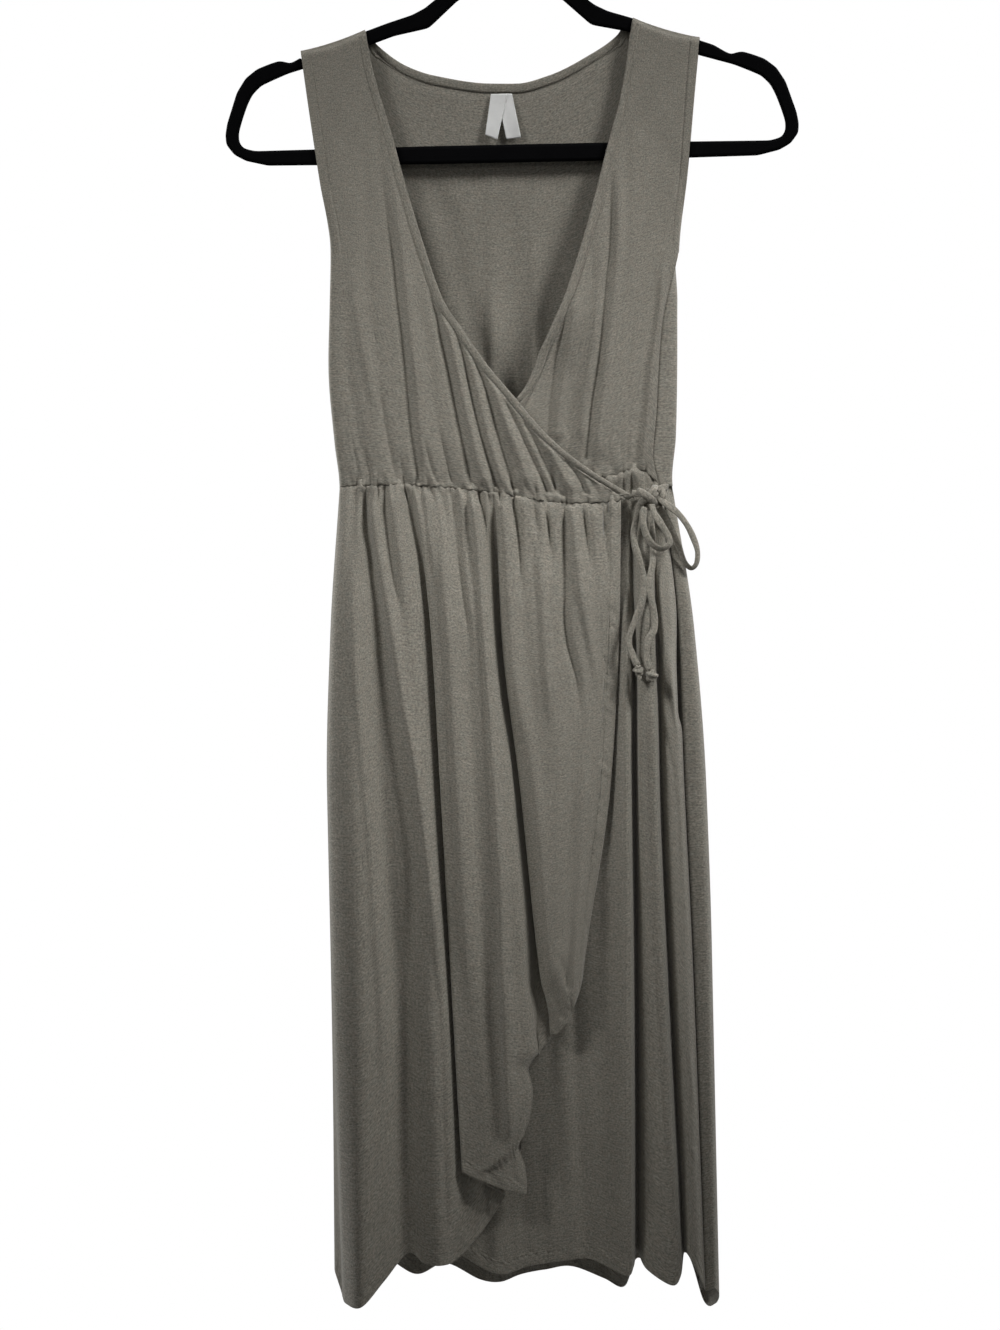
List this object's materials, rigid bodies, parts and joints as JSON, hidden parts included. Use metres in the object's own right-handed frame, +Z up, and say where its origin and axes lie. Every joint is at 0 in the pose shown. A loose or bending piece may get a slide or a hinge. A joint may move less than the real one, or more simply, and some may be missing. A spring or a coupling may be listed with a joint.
{
  "type": "wrap dress on a hanger",
  "caption": "Sleeveless wrap dress in slub jersey with a gathered waist, tulip skirt and side tie, hanging on a slim hanger.",
  "frame": {"origin": "the point inside the hook's top where a rail bears", "axes": "+Z up, the front of the dress faces -Y, +X to the viewer's right"},
  "size_m": [0.445, 0.0792, 1.1272],
  "materials": {
    "jersey": "matte heathered slub knit",
    "binding": "matte knit binding",
    "tape": "woven satin tape",
    "flock": "velvet flock",
    "steel": "polished"
  },
  "bodies": {
    "root": {"back_bodice": "jersey", "front_bodice_over": "jersey", "front_bodice_under": "jersey", "back_skirt": "jersey", "front_skirt_over": "jersey", "front_skirt_under": "jersey", "pocket_bag": "jersey", "back_neck_binding": "binding", "neck_binding_over": "binding", "neck_binding_under": "binding", "tie_lead_over": "jersey", "tie_lead_side": "jersey", "tie_knot": "jersey", "tie_loop_small": "jersey", "tie_loop_large": "jersey", "tie_end_left": "jersey", "tie_end_right": "jersey", "tie_knot_left": "jersey", "tie_knot_right": "jersey", "neck_label": "tape", "hanger_body": "flock", "hanger_hook": "steel"}
  },
  "joints": []
}
